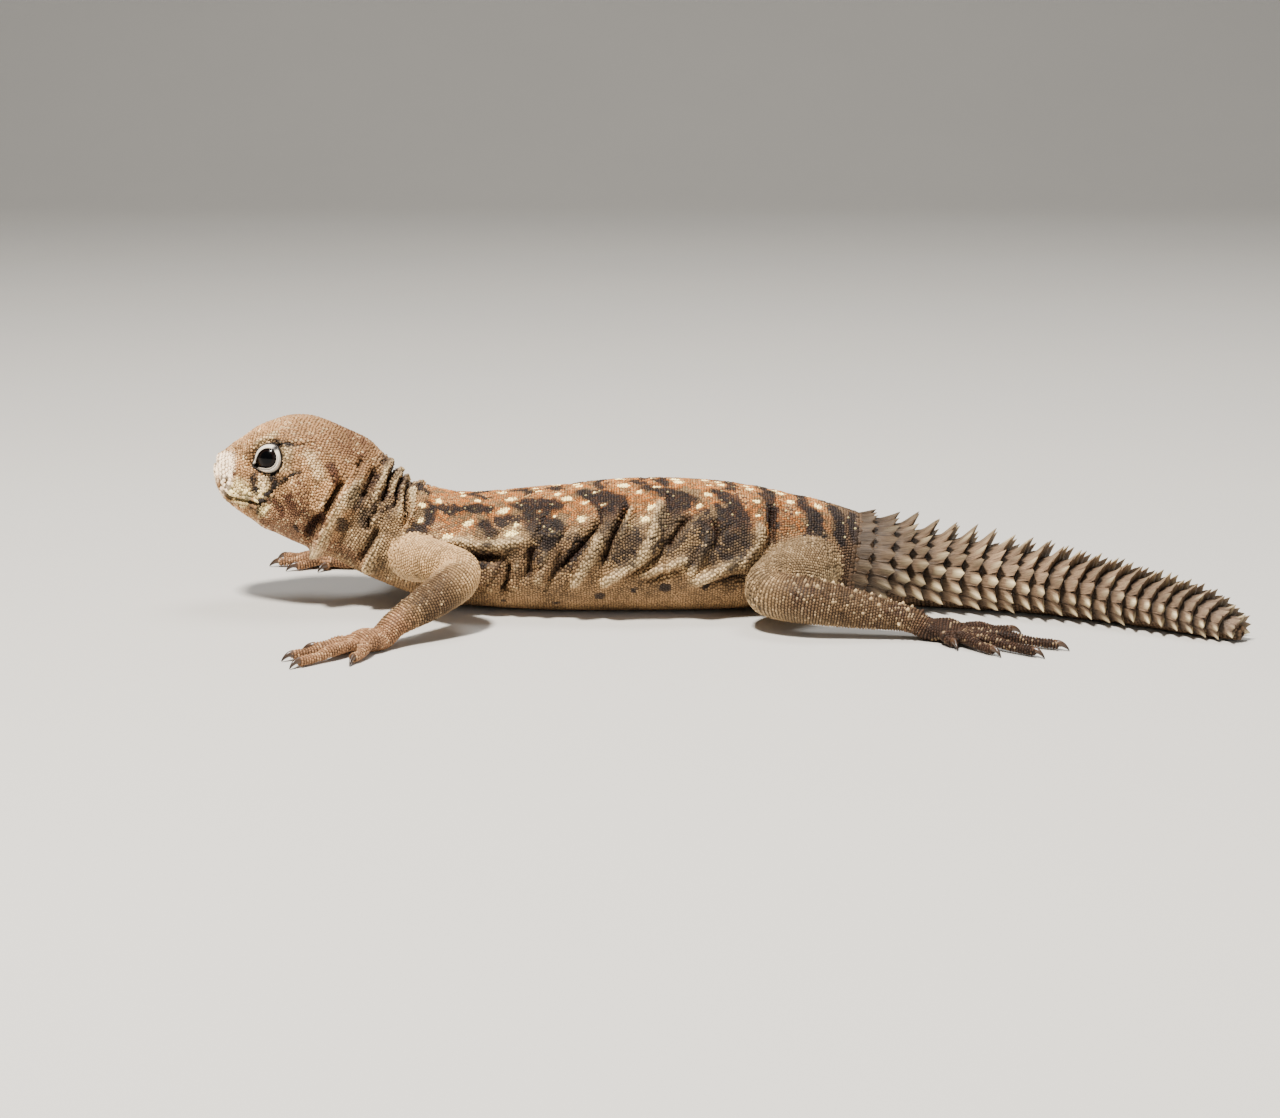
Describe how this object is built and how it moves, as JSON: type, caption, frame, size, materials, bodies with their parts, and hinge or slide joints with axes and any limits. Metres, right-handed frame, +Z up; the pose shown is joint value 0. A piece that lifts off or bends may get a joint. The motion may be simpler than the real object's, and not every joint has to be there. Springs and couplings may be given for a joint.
{
  "type": "juvenile uromastyx lizard model",
  "caption": "Still life-size uromastyx lizard, belly on the floor and head raised, with sprawled legs and a thick tail ringed with spines.",
  "frame": {"origin": "on the flat under the belly, below the middle of the trunk, at floor level", "axes": "-X the way the head points, -Y the lizard's left side, +Z up"},
  "size_m": [0.1455, 0.0782, 0.0275],
  "materials": {
    "skin": "dry granular scales, matt",
    "tail_scale": "hard keeled scales, slightly waxy",
    "claw": "smooth dark horn",
    "eye": "wet and glossy"
  },
  "bodies": {
    "root": {"head": "skin", "neck": "skin", "torso": "skin", "eye_left": "eye", "eye_right": "eye", "upper_arm_left": "skin", "upper_arm_right": "skin", "forearm_left": "skin", "forearm_right": "skin", "hand_left": "skin", "hand_right": "skin", "thigh_left": "skin", "thigh_right": "skin", "shank_left": "skin", "shank_right": "skin", "foot_left": "skin", "foot_right": "skin", "tail_front": "tail_scale", "tail_middle": "tail_scale", "tail_end": "tail_scale"}
  },
  "joints": []
}
